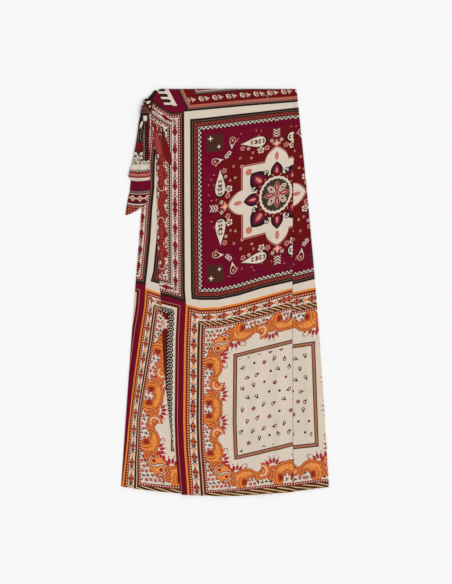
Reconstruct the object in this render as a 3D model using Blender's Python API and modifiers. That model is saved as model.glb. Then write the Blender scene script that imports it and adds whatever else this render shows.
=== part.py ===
"""Wrap skirt of light printed cloth, laid flat with its front up.

The skirt lies on the surface Z = 0 with its waist towards +Y and its hem
towards -Y.  The origin is the middle of the underside.  From the surface up
lie the back panel, the under front and the over front, each a cloth wall one
millimetre thick.  The over front ends in a waist tie, knotted at the left hip
with the tie that comes round from the back.  Lengths are metres.
"""
import math

import bmesh
import bpy

# ---------------------------------------------------------------- dimensions
WALL = 0.0010                 # thickness of the cloth walls
GAP = 0.0003                  # air between pieces that touch
WAIST_Y = 0.4884              # straight part of the waist edge
HEM_Y = -0.4884               # lowest point of the curved hem
HEM_CENTRE_X = -0.0050        # where the hem is lowest
HEM_CURVE = 0.333             # rise of the hem, metres per square metre
HEM_SHORT_UNDER = 0.0028      # the under front is this much shorter
HEM_SHORT_BACK = 0.0050       # and the back, so that it stays out of sight
WAIST_LEFT_X, HEM_LEFT_X = -0.1800, -0.2496
WAIST_RIGHT_X, HEM_RIGHT_X = 0.1722, 0.2496
LEFT_BOW, RIGHT_BOW = 0.0040, 0.0070     # outward bow of the two side folds
CORNER_X = -0.1565            # left of here the waist is pulled down to the knot
CORNER_SLOPE = 1.25
SEAM_WAIST_X, SEAM_HEM_X = 0.1668, 0.1640     # right seam, on the front
SEAM_DIP = -0.0035            # the seam bends this much to the left half way
BACK_SEAM_WAIST, BACK_SEAM_HEM = 0.0100, 0.0400   # left seam, in from the fold
HIDDEN_EDGE_WAIST_X, HIDDEN_EDGE_HEM_X = 0.0900, 0.1150
FOLD_RADIUS = (WALL + GAP) / 2    # of the middle of the wall, at the side folds
FOLD_STEPS = 6
UNDER_FLAT_MARGIN = 0.0030    # the under front is flat from here to the free edge
FOLD_FADE = 0.25              # share of the length over which a soft fold dies out
EDGE_FADE = 0.0120            # folds die out this far from a side fold or a free edge
SEAM_FADE = 0.0100            # and this far from the right seam
SINK_START, SINK_LENGTH = 0.0140, 0.0300   # the over front sinks here, past the hidden edge

# Free edge of the over front: distance below the waist edge, and X
FREE_EDGE = (
    # down, x
    (0.0000, -0.1738),
    (0.0400, -0.1768),
    (0.0740, -0.1738),
    (0.1220, -0.1722),
    (0.1400, -0.1660),
    (0.2650, -0.1636),
    (0.3600, -0.1624),
    (0.4470, -0.1590),
    (0.4870, -0.1555),
    (0.5420, -0.1514),
    (0.6250, -0.1495),
    (0.6600, -0.1474),
    (0.7220, -0.1416),
    (0.7970, -0.1337),
    (0.8400, -0.1291),
    (0.8620, -0.1236),
    (0.8930, -0.1170),
    (0.9300, -0.1134),
    (0.9680, -0.1052),
)

# Soft folds of the over front: X at waist and hem, reach along the length
# (0 waist, 1 hem), height and half width
OVER_FOLDS = (
    # x_top, x_hem, start, end, height, half_width
    (-0.150, -0.128, -0.10, 0.62, 0.0026, 0.016),
    (-0.118, -0.098, 0.42, 1.15, 0.0030, 0.020),
    (-0.062, -0.050, -0.25, 0.55, 0.0014, 0.024),
    (-0.030, -0.006, 0.48, 1.20, 0.0026, 0.026),
    (0.030, 0.040, -0.10, 0.60, 0.0016, 0.028),
    (0.062, 0.080, 0.50, 1.20, 0.0026, 0.024),
    (0.112, 0.136, 0.22, 1.15, 0.0028, 0.020),
)
UNDER_FOLDS = (
    # x_top, x_hem, start, end, height, half_width
    (-0.200, -0.222, 0.34, 1.15, 0.0018, 0.012),
    (-0.170, -0.166, 0.52, 1.15, 0.0026, 0.018),
)
STRIP_FOLDS = (
    # x_top, x_hem, start, end, height, half_width
    (0.180, 0.206, 0.40, 1.20, 0.0020, 0.016),
)

# Waist tie
TIE_WALL = 0.0012
TIE_LIFT = 0.0020             # middle of the upper end above that of the lower
TIE_CREASE = 0.0012           # height of the upper end's creases
TIE_CREASES, TIE_CREASE_SLANT = 1.5, 0.8   # how many lie across it, and drift down it
TIE_SLACK = 0.00015           # the lower end lies this far above what is below it
TIE_REST_MARGIN = 0.0062      # the ties leave the surface this far before the skirt
KNOT_REST_MARGIN = 0.0080     # and the knot
LONG_END = (
    # y, left x, right x
    (0.4180, -0.2040, -0.1836),
    (0.3840, -0.2090, -0.1824),
    (0.3400, -0.2170, -0.1818),
    (0.3000, -0.2235, -0.1812),
    (0.2700, -0.2262, -0.1800),
    (0.2430, -0.2290, -0.1796),
    (0.2290, -0.2325, -0.1850),
    (0.2160, -0.2352, -0.1890),
    (0.2070, -0.2368, -0.2000),
    (0.1975, -0.2380, -0.2110),
    (0.1900, -0.2392, -0.2250),
    (0.1862, -0.2392, -0.2350),
)
SHORT_END = (
    # y, left x, right x
    (0.4180, -0.2048, -0.1812),
    (0.4090, -0.2070, -0.1806),
    (0.3840, -0.2098, -0.1810),
    (0.3600, -0.2134, -0.1822),
    (0.3360, -0.2178, -0.1832),
    (0.3120, -0.2222, -0.1832),
    (0.2950, -0.2280, -0.1828),
    (0.2790, -0.2322, -0.1820),
    (0.2715, -0.2272, -0.1822),
)
KNOT_CENTRE = (-0.1898, 0.4390)
KNOT_HALF = (0.0124, 0.0232)  # half width and half length of the knot
KNOT_HEIGHT = 0.0125
KNOT_LEAN = math.radians(-16)
KNOT_GROOVE = 0.06            # depth of its grooves, as a share of its size
KNOT_GROOVES, KNOT_TWIST = 3.0, 2.2        # how many lie round it, and turn up it
KNOT_END_POWER, BAND_END_POWER = 1.0, 0.6  # 1 gives round ends, less gives blunt ones
LUMP_WAIST = 0.32             # widest part of a lump, as a share of its height
CORNER_MARGIN, CORNER_FADE = 0.0200, 0.0100    # the knot leaves the skirt past its corner
BAND_CENTRE = (-0.17465, 0.47375)
BAND_HALF = (0.0046, 0.0150)
BAND_HEIGHT = 0.0052
BAND_LEAN = math.radians(-42)

CLOTH_COLOURS = {
    "back": (0.34, 0.06, 0.07),
    "under": (0.42, 0.13, 0.06),
    "over": (0.30, 0.02, 0.05),
    "tie": (0.12, 0.03, 0.03),
}


# ------------------------------------------------------------ rules of shape
def mix(a, b, t):
    """Value that goes from a to b as t goes from 0 to 1."""
    return a + (b - a) * t


def smooth(t):
    """Soft step: 0 below 0, 1 above 1, level at both ends."""
    t = min(max(t, 0.0), 1.0)
    return t * t * (3.0 - 2.0 * t)


def from_table(rows, key, column):
    """Straight-line reading of a table whose first column is the key."""
    before = rows[0]
    for row in rows[1:]:
        if (row[0] - key) * (rows[-1][0] - rows[0][0]) >= 0:
            return mix(before[column], row[column], (key - before[0]) / (row[0] - before[0]))
        before = row
    return rows[-1][column]


def waist_y(x):
    """Waist edge: straight, then pulled down towards the knot."""
    return WAIST_Y - CORNER_SLOPE * max(0.0, CORNER_X - x)


def hem_y(x):
    """Hem: a shallow curve, lowest near the middle."""
    return HEM_Y + HEM_CURVE * (x - HEM_CENTRE_X) ** 2


def left_x(t):
    """Left side fold at t of the way from waist to hem."""
    return mix(WAIST_LEFT_X, HEM_LEFT_X, t) - LEFT_BOW * math.sin(math.pi * t)


def right_x(t):
    """Right side fold at t of the way from waist to hem."""
    return mix(WAIST_RIGHT_X, HEM_RIGHT_X, t) + RIGHT_BOW * math.sin(math.pi * t)


def seam_x(t):
    """Seam between the over front and the back panel's strip."""
    return mix(SEAM_WAIST_X, SEAM_HEM_X, t) + SEAM_DIP * math.sin(math.pi * t)


def back_seam_x(t):
    """Seam between the under front and the back, on the underside."""
    return left_x(t) + mix(BACK_SEAM_WAIST, BACK_SEAM_HEM, t)


def hidden_edge_x(t):
    """Free edge of the under front, below the over front."""
    return mix(HIDDEN_EDGE_WAIST_X, HIDDEN_EDGE_HEM_X, t)


def free_edge_x(t):
    """Free edge of the over front."""
    return from_table(FREE_EDGE, t * (WAIST_Y - HEM_Y), 1)


def folds(rows, x, t):
    """Height that the soft folds of a table add at x, t."""
    height = 0.0
    for x_top, x_hem, start, end, top, half_width in rows:
        across = abs(x - mix(x_top, x_hem, t)) / half_width
        along = smooth((t - start) / FOLD_FADE) * smooth((end - t) / FOLD_FADE)
        if across < 1.0:
            height += top * along * 0.5 * (1.0 + math.cos(math.pi * across))
    return height


BACK_MIDDLE = WALL / 2
UNDER_MIDDLE = BACK_MIDDLE + 2 * FOLD_RADIUS       # of a panel that has turned a fold
OVER_MIDDLE = UNDER_MIDDLE + WALL + GAP


def under_height(x, t):
    """Middle of the under front's upper layer."""
    shown = smooth((free_edge_x(t) - UNDER_FLAT_MARGIN - x) / EDGE_FADE)
    return UNDER_MIDDLE + shown * folds(UNDER_FOLDS, x, t)


def over_height(x, t):
    """Middle of the over front, which sinks onto the back past the under front."""
    sunk = smooth((x - hidden_edge_x(t) - SINK_START) / SINK_LENGTH)
    level = mix(OVER_MIDDLE, UNDER_MIDDLE, sunk)
    return level + folds(OVER_FOLDS, x, t)


def strip_height(x, t):
    """Middle of the back panel's strip on the front."""
    seam_side = smooth((x - seam_x(t)) / SEAM_FADE)
    fold_side = smooth((right_x(t) - x) / EDGE_FADE)
    return UNDER_MIDDLE + folds(STRIP_FOLDS, x, t) * seam_side * fold_side


def fold_arc(u, x_side, direction):
    """Point of the half circle round a side fold, u = 0 below to 1 above."""
    angle = math.pi * (u - 0.5)
    x = x_side + direction * FOLD_RADIUS * math.cos(angle) - direction * (FOLD_RADIUS + WALL / 2)
    return x, BACK_MIDDLE + FOLD_RADIUS * (1.0 + math.sin(angle))


# ----------------------------------------------------------- building pieces
def cloth_material(name, colour):
    """Plain woven cloth."""
    material = bpy.data.materials.new(name)
    material.use_nodes = True
    shader = material.node_tree.nodes["Principled BSDF"]
    shader.inputs["Base Color"].default_value = (*colour, 1.0)
    shader.inputs["Roughness"].default_value = 0.75
    shader.inputs["Sheen Weight"].default_value = 0.25
    return material


def add_object(name, mesh, material):
    """Object of the skirt's collection with its own material."""
    mesh.materials.append(material)
    piece = bpy.data.objects.new(name, mesh)
    skirt.objects.link(piece)
    return piece


def cloth_piece(name, place, columns, rows, material, wall=WALL):
    """Cloth wall on the surface place(u, v), u across and v down the piece."""
    bm = bmesh.new()
    bmesh.ops.create_grid(bm, x_segments=columns, y_segments=rows, size=0.5)
    for vert in bm.verts:
        vert.co = place(vert.co.x + 0.5, 0.5 - vert.co.y)
    mesh = bpy.data.meshes.new(name)
    bm.to_mesh(mesh)
    bm.free()
    mesh.shade_smooth()
    piece = add_object(name, mesh, material)
    solidify = piece.modifiers.new("wall", "SOLIDIFY")
    solidify.thickness = wall
    solidify.offset = 0.0
    solidify.use_even_offset = True
    return piece


def on_skirt(x, t, z, shorter=0.0):
    """Point at x, t of the way down from the waist, at height z."""
    return x, mix(waist_y(x), hem_y(x) + shorter, t), z


# -------------------------------------------------------------------- panels
BACK_FLAT, BACK_STRIP = 12, 6
UNDER_RETURN, UNDER_SHOWN, UNDER_HIDDEN = 3, 11, 7


def back_point(u, v):
    """Back panel: along the surface, round the right fold, back to the seam."""
    step = u * (BACK_FLAT + FOLD_STEPS + BACK_STRIP)
    inner_x = right_x(v) - FOLD_RADIUS - WALL / 2
    if step <= BACK_FLAT:
        x = mix(back_seam_x(v) + GAP, inner_x, step / BACK_FLAT)
        return on_skirt(x, v, BACK_MIDDLE, HEM_SHORT_BACK)
    if step < BACK_FLAT + FOLD_STEPS:
        around = (step - BACK_FLAT) / FOLD_STEPS
        x, z = fold_arc(around, right_x(v), 1)
        return on_skirt(x, v, z, HEM_SHORT_BACK * (1.0 - smooth(around)))
    x = mix(inner_x, seam_x(v) + GAP / 2, (step - BACK_FLAT - FOLD_STEPS) / BACK_STRIP)
    return on_skirt(x, v, strip_height(x, v))


def under_point(u, v):
    """Under front: from the back seam round the left fold to the hidden edge."""
    step = u * (UNDER_RETURN + FOLD_STEPS + UNDER_SHOWN + UNDER_HIDDEN)
    inner_x = left_x(v) + FOLD_RADIUS + WALL / 2
    if step <= UNDER_RETURN:
        x = mix(back_seam_x(v), inner_x, step / UNDER_RETURN)
        return on_skirt(x, v, BACK_MIDDLE, HEM_SHORT_BACK)
    if step < UNDER_RETURN + FOLD_STEPS:
        around = (step - UNDER_RETURN) / FOLD_STEPS
        x, z = fold_arc(around, left_x(v), -1)
        return on_skirt(x, v, z, mix(HEM_SHORT_BACK, HEM_SHORT_UNDER, smooth(around)))
    shown = step - UNDER_RETURN - FOLD_STEPS
    flat_x = free_edge_x(v) - UNDER_FLAT_MARGIN
    x = mix(inner_x, flat_x, shown / UNDER_SHOWN)
    if shown > UNDER_SHOWN:
        x = mix(flat_x, hidden_edge_x(v), (shown - UNDER_SHOWN) / UNDER_HIDDEN)
    return on_skirt(x, v, under_height(x, v), HEM_SHORT_UNDER)


def over_point(u, v):
    """Over front: from its free edge to the right seam."""
    x = mix(free_edge_x(v), seam_x(v) - GAP / 2, u)
    return on_skirt(x, v, over_height(x, v))


# --------------------------------------------------------------------- ties
def tie_rest(x, y, margin=TIE_REST_MARGIN):
    """What a tie lies on: the surface, then the skirt's left margin."""
    t = (WAIST_Y - y) / (WAIST_Y - HEM_Y)
    climb = smooth((x - left_x(t) + 2 * margin) / margin)
    return climb * (UNDER_MIDDLE + WALL / 2 + GAP)


def knot_lower_y(x):
    """Lower side of the knot's outline, an ellipse leaning by KNOT_LEAN."""
    cos_lean, sin_lean = math.cos(KNOT_LEAN), math.sin(KNOT_LEAN)
    across, along = KNOT_HALF[0] ** -2, KNOT_HALF[1] ** -2
    dx = x - KNOT_CENTRE[0]
    a = sin_lean ** 2 * across + cos_lean ** 2 * along
    b = 2 * dx * cos_lean * sin_lean * (across - along)
    c = dx ** 2 * (cos_lean ** 2 * across + sin_lean ** 2 * along) - 1.0
    return KNOT_CENTRE[1] - (b + math.sqrt(max(b * b - 4 * a * c, 0.0))) / (2 * a)


def tie_point(rows, lift, crease, u, v):
    """Tie end: width from its table, with soft creases along it, cut to the knot."""
    y = mix(rows[0][0], rows[-1][0], v)
    left, right = from_table(rows, y, 1), from_table(rows, y, 2)
    x = mix(left, right, u)
    y += (knot_lower_y(x) - GAP - rows[0][0]) * (1.0 - v) ** 4
    ripple = crease * (1.0 - math.cos(2 * math.pi * (TIE_CREASES * u + TIE_CREASE_SLANT * v))) / 2
    return x, y, tie_rest(x, y) + TIE_WALL / 2 + lift + ripple


def long_point(u, v):
    """Lower tie end."""
    return tie_point(LONG_END, TIE_SLACK, 0.0, u, v)


def short_point(u, v):
    """Upper tie end, lying on the lower one."""
    return tie_point(SHORT_END, TIE_SLACK + TIE_LIFT, TIE_CREASE, u, v)


def knot_rest(x, y):
    """What the knot lies on: as the ties, but not past the pulled-down corner."""
    return tie_rest(x, y, KNOT_REST_MARGIN) * smooth((waist_y(x) + CORNER_MARGIN - y) / CORNER_FADE)


def no_rest(x, y):
    """The surface itself."""
    return 0.0


def lump_point(direction, centre, half, height, lean, end_power, groove, rest):
    """Lump of wound cloth round a centre, leaning along the corner, flat below."""
    around = math.atan2(direction.y, direction.x)
    wave = math.cos(KNOT_GROOVES * around + KNOT_TWIST * direction.z)
    ring = 1.0 - groove * (0.5 + 0.5 * wave)
    across = half[0] * direction.x * ring
    along = half[1] * math.copysign(abs(direction.y) ** end_power, direction.y) * ring
    x = centre[0] + across * math.cos(lean) - along * math.sin(lean)
    y = centre[1] + across * math.sin(lean) + along * math.cos(lean)
    if direction.z < 0:
        rise = LUMP_WAIST * (1 + direction.z) ** 3
    else:
        rise = mix(LUMP_WAIST, ring, direction.z)
    base = rest(x, y)
    return x, y, base + (height - base) * rise


def lump(name, material, *shape):
    """Closed rounded lump from a ball whose points are moved by lump_point."""
    bm = bmesh.new()
    bmesh.ops.create_uvsphere(bm, u_segments=24, v_segments=14, radius=1.0)
    for vert in bm.verts:
        vert.co = lump_point(vert.co.copy(), *shape)
    mesh = bpy.data.meshes.new(name)
    bm.to_mesh(mesh)
    bm.free()
    mesh.shade_smooth()
    return add_object(name, mesh, material)


skirt = bpy.data.collections.new("wrap_skirt")


def build():
    """Make the seven pieces."""
    for piece in list(bpy.data.objects):
        bpy.data.objects.remove(piece, do_unlink=True)
    bpy.context.scene.collection.children.link(skirt)
    back = cloth_material("back_cloth", CLOTH_COLOURS["back"])
    under = cloth_material("under_front_cloth", CLOTH_COLOURS["under"])
    over = cloth_material("over_front_cloth", CLOTH_COLOURS["over"])
    cloth_piece("back_panel", back_point, BACK_FLAT + FOLD_STEPS + BACK_STRIP, 22, back)
    cloth_piece("under_front_panel", under_point,
                UNDER_RETURN + FOLD_STEPS + UNDER_SHOWN + UNDER_HIDDEN, 30, under)
    cloth_piece("over_front_panel", over_point, 34, 36, over)
    cloth_piece("tie_end_long", long_point, 12, 24,
                cloth_material("long_tie_cloth", CLOTH_COLOURS["tie"]), TIE_WALL)
    cloth_piece("tie_end_short", short_point, 12, 14,
                cloth_material("short_tie_cloth", CLOTH_COLOURS["tie"]), TIE_WALL)
    lump("tie_knot", cloth_material("knot_cloth", CLOTH_COLOURS["tie"]), KNOT_CENTRE, KNOT_HALF,
         KNOT_HEIGHT, KNOT_LEAN, KNOT_END_POWER, KNOT_GROOVE, knot_rest)
    lump("tie_band", cloth_material("band_cloth", CLOTH_COLOURS["tie"]), BAND_CENTRE, BAND_HALF,
         BAND_HEIGHT, BAND_LEAN, BAND_END_POWER, 0.0, no_rest)


build()
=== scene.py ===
"""Wrap skirt of printed viscose, laid flat with its front up and its tie knotted at the left hip.

The skirt is put together from the surface up: back, under front, over front, ties and knot, each
with its own stitches.  Lengths are metres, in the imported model's own frame: X across, Y towards the
waist, Z up.  Only the drawing of the print is in millimetres.
"""

import bpy
import numpy as np
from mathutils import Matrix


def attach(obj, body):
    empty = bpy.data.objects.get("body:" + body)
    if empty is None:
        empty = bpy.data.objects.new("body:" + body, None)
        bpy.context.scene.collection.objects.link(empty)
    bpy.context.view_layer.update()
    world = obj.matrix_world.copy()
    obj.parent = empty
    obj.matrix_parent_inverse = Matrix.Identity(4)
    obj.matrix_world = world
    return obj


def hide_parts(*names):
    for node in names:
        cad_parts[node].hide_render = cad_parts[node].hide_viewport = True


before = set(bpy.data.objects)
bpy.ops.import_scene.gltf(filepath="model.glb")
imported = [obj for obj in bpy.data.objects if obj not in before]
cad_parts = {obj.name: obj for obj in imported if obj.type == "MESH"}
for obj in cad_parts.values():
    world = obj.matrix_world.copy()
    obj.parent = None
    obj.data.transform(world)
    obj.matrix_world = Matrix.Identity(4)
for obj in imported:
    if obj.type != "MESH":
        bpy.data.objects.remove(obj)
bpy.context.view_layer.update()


# ---------------------------------------------------------------- camera, floor and studio light
# A camera straight above the middle of the skirt, a pale paper floor, and the light of a white
# studio: an even glow from all round with one large soft lamp at the upper left.
CAMERA_PLACE = (0.0024, 0.0012, 3.897)
camera = bpy.data.objects.new("camera", bpy.data.cameras.new("camera"))
camera.data.lens = 100.0
camera.data.sensor_width = 36.0
camera.data.clip_end = 50.0
camera.location = CAMERA_PLACE
bpy.context.scene.collection.objects.link(camera)
bpy.context.scene.camera = camera

FLOOR_SIZE = 12.0
floor_mesh = bpy.data.meshes.new("floor")
corner = FLOOR_SIZE / 2
floor_mesh.from_pydata([(-corner, -corner, 0), (corner, -corner, 0), (corner, corner, 0),
                        (-corner, corner, 0)], [], [(0, 1, 2, 3)])
floor = bpy.data.objects.new("floor", floor_mesh)
bpy.context.scene.collection.objects.link(floor)
paper = bpy.data.materials.new("white_paper")
paper.use_nodes = True
paper.node_tree.nodes["Principled BSDF"].inputs["Base Color"].default_value = (0.93, 0.93, 0.93, 1)
paper.node_tree.nodes["Principled BSDF"].inputs["Roughness"].default_value = 0.9
floor_mesh.materials.append(paper)

studio = bpy.data.worlds.new("studio")
studio.use_nodes = True
studio.node_tree.nodes["Background"].inputs["Color"].default_value = (1.0, 1.0, 1.0, 1)
studio.node_tree.nodes["Background"].inputs["Strength"].default_value = 0.72
bpy.context.scene.world = studio
lamp = bpy.data.objects.new("soft_lamp", bpy.data.lights.new("soft_lamp", "SUN"))
lamp.data.energy = 1.15
lamp.data.angle = np.radians(40)
lamp.rotation_euler = np.radians((38, 0, 52))
bpy.context.scene.collection.objects.link(lamp)
bpy.context.scene.view_settings.view_transform = "Standard"


# ------------------------------------------------------------------------------ printed cloth
# One light viscose is cut for every piece, screen printed edge to edge with scarf squares.  Each
# square has borders that run round it, worked out below in millimetres from its middle and edge.
# Two columns of squares meet at across = 0, and the lower row of the right one starts at up = 0.
MEDALLION_HALF, BRICK_HALF, LOWER_HALF = 208.0, 221.5, 242.0      # half sides of the squares
MEDALLION_X, WAIST_LINE, LEFT_LINE = 222.0, 450.0, 7.0  # its middle; where two rows start
THREADS = 7.0                 # radians of the weave's sine in each millimetre
INKS = {                      # sRGB, 0 to 255
    "cream": (213, 198, 181), "black": (38, 22, 18), "brown": (70, 38, 28), "grey": (116, 98, 88),
    "burgundy": (104, 2, 34), "wine": (102, 14, 16), "brick": (136, 36, 32), "rust": (138, 42, 26),
    "pink": (204, 134, 120), "orange": (222, 126, 44), "amber": (226, 138, 70), "plum": (92, 16, 50),
    "olive": (60, 52, 38), "straw": (228, 186, 130), "rose": (160, 44, 50), "crimson": (120, 22, 32),
    "clay": (170, 74, 56), "tawny": (196, 92, 40), "silver": (176, 166, 156), "rosy": (186, 100, 88),
}


def ink(name):
    """Linear colour of an ink: each sRGB value v becomes ((v + 0.055) / 1.055) ** 2.4."""
    return tuple(((value / 255 + 0.055) / 1.055) ** 2.4 for value in INKS[name]) + (1.0,)


class Measure:
    """A number that varies over the cloth: its operators each add one Math node to the drawing."""
    drawing = laid = None     # the node tree being drawn, and the colour laid in it so far

    def __init__(self, socket):
        self.socket = socket

    def __abs__(self):
        return measure("ABSOLUTE", self)


def feed(value, socket):
    """Link a Measure or an output socket to an input, or set the input to a plain number."""
    if isinstance(value, Measure):
        value = value.socket
    if isinstance(value, bpy.types.NodeSocket):
        Measure.drawing.links.new(value, socket)
    else:
        socket.default_value = value


def set_inputs(node, **values):
    """Link or set the inputs of a node that are named, with _ for a space in a name."""
    for label, value in values.items():
        feed(value, node.inputs[label.replace("_", " ")])
    return node


def new_node(kind, **values):
    """A node in the drawing, with its named inputs linked or set."""
    return set_inputs(Measure.drawing.nodes.new("ShaderNode" + kind), **values)


def measure(operation, *values):
    """One Math node."""
    node = new_node("Math")
    node.operation = operation
    for value, socket in zip(values, node.inputs):
        feed(value, socket)
    return Measure(node.outputs[0])


for sign, operation in (("add", "ADD"), ("sub", "SUBTRACT"), ("mul", "MULTIPLY"),
                        ("truediv", "DIVIDE"), ("lt", "LESS_THAN"), ("gt", "GREATER_THAN")):
    setattr(Measure, f"__{sign}__", lambda a, b, operation=operation: measure(operation, a, b))
    setattr(Measure, f"__r{sign}__", lambda a, b, operation=operation: measure(operation, b, a))


def either(first, *others):
    """Largest of some measures: of masks, where any is 1."""
    for other in others:
        first = measure("MAXIMUM", first, other)
    return first


def least(first, *others):
    """Smallest of some measures."""
    for other in others:
        first = measure("MINIMUM", first, other)
    return first


def far(x, y):
    """Distance from the middle: square root of x² + y²."""
    return measure("SQRT", measure("MULTIPLY_ADD", y, y, x * x))


def oval(x, y, half_x, half_y):
    """Mask of an ellipse."""
    return far(x / half_x, y / half_y) < 1.0


def again(along, period, shift=0.0):
    """Repeat: distance from the middle of each period, between -period/2 and period/2."""
    return measure("FLOORED_MODULO", along + shift, period) - period / 2


def turned(x, y, degrees):
    """The pair x, y in axes turned by an angle."""
    c, s = float(np.cos(np.radians(degrees))), float(np.sin(np.radians(degrees)))
    return measure("MULTIPLY_ADD", x, c, y * s), measure("MULTIPLY_ADD", y, c, x * -s)


def leaf_drop(x, y, length, half_width, curl=0.0):
    """Paisley drop, tip at -length/2: level t³(1-t)/0.1055 - (y/half_width)², above 0 inside, with y
    bent by curl towards the tip."""
    t = measure("MULTIPLY_ADD", x, 1.0 / length, 0.5)
    rest = 1.0 - t
    if curl:
        y = measure("MULTIPLY_ADD", rest * rest, curl, y)
    y = y / half_width
    return t * t * t * rest / 0.1055 - y * y


def almond(x, y, half_length, half_width):
    """Pointed oval: level 1 - (x/half_length)² - |y|/half_width, above 0 inside."""
    x = x / half_length
    return 1.0 - x * x - abs(y) / half_width


def lay(colour, *where):
    """Lay an ink, or a colour worked out, over what is laid already, where every mask is 1."""
    colour = ink(colour) if isinstance(colour, str) else colour
    if where:
        mask, node = where[0], new_node("Mix")
        for other in where[1:]:
            mask = mask * other
        node.data_type = "RGBA"
        for value, number in ((mask, 0), (Measure.laid, 6), (colour, 7)):
            feed(value, node.inputs[number])
        colour = node.outputs[2]
    Measure.laid = colour


def within(distance, *steps):
    """Inks one inside the other: each step is a distance and the ink laid nearer than that."""
    for reach, name in steps:
        lay(name, distance < reach)


def above(level, *steps):
    """Inks one inside the other: each step is a level and the ink laid where it is higher."""
    for start, name in steps:
        lay(name, level > start)


def stripes(place, reach, *stops):
    """Bands of ink by place, from 0 to reach: each stop is where its ink starts."""
    node = new_node("ValToRGB", Fac=place / reach)
    ramp = node.color_ramp
    ramp.interpolation = "CONSTANT"
    ramp.elements.remove(ramp.elements[1])
    for number, (start, name) in enumerate(stops):
        element = ramp.elements[0] if number == 0 else ramp.elements.new(start / reach)
        element.position = start / reach
        element.color = ink(name)
    return node.outputs[0]


def node_group(title, inputs, outputs):
    """Make the function below a node group with inputs and outputs of these names: it gets the
    inputs, and what it gives back, or else the colour that it lays, goes to the outputs."""
    def build(draw):
        group = bpy.data.node_groups.new(title, "ShaderNodeTree")
        for labels, direction in ((inputs, "INPUT"), (outputs, "OUTPUT")):
            for label in labels:
                kind = {"Place": "Vector", "Color": "Color"}.get(label, "Float")
                group.interface.new_socket(label, in_out=direction, socket_type="NodeSocket" + kind)
        Measure.drawing = group
        entry, leave = group.nodes.new("NodeGroupInput"), group.nodes.new("NodeGroupOutput")
        drawn = draw(*[Measure(socket) for socket in entry.outputs[:len(inputs)]])
        for value, socket in zip(drawn or (Measure.laid,), leave.inputs):
            feed(value, socket)
        return group
    return build


def use(group, *values):
    """Place a node group in the drawing; gives its output, or a list of them."""
    node = new_node("Group")
    node.node_tree = group
    for value, socket in zip(values, node.inputs):
        feed(value, socket)
    outputs = [Measure(socket) for socket in node.outputs]
    return outputs if len(outputs) > 1 else outputs[0]


def cloud(x, y, scale, detail=2.0):
    """Soft noise, 0 to 1, of x and y times scale."""
    spot = new_node("CombineXYZ", X=x, Y=y).outputs[0]
    return Measure(new_node("TexNoise", Vector=spot, Scale=scale, Detail=detail).outputs[0])


def framed(x, y, half):
    """For a square: across and along folded to one eighth, and the distance inward from its edge."""
    across, along = either(abs(x), abs(y)), least(abs(x), abs(y))
    return across, along, half - across


def dotted(along, inward, middle, period, radius, name):
    """Row of dots along a border."""
    lay(name, far(again(along, period), inward - middle) < radius)


def petalled(x, y, count=5):
    """Distance from a flower's middle, and how far its petals reach: |cos(count × angle / 2)|."""
    return far(x, y), abs(measure("COSINE", measure("ARCTAN2", y, x) * (count / 2)))


def floret(x, y, radius, petals, eye, count=5):
    """Small flower: edge at radius × (0.6 + 0.4 × reach of its petals), and a ring for its eye."""
    distance, reach = petalled(x, y, count)
    lay(petals, distance < measure("MULTIPLY_ADD", reach, radius * 0.4, radius * 0.6))
    lay(eye, abs(distance - radius * 0.36) < radius * 0.15)


def garland(along, inward, middle, bloom, bud, sprig):
    """Flower border: in each 36 mm a crossed sprig, a bud with a pale eye and a scalloped flower."""
    aside, place = abs(inward - middle), again(along, 36.0)
    lay(sprig, abs(abs(place) - aside * 0.8) < 1.3, aside < 6.4)
    lay(sprig, oval(place, aside, 1.8, 3.4))
    lay(bud, oval(place - 8.6, aside, 5.0, 3.6))
    lay("cream", oval(place - 8.6, aside, 1.9, 1.1))
    edge = abs(again(along, 36.0, 12.0))
    lozenge = aside / 8.2 + edge / 13.0
    lay(bloom, measure("MULTIPLY_ADD", measure("COSINE", edge * 1.9), 0.13, lozenge) < 0.97)
    lay(bud, either(oval(edge - 4.0, aside - 1.8, 1.5, 1.1), oval(edge, aside, 1.3, 0.8)))


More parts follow.
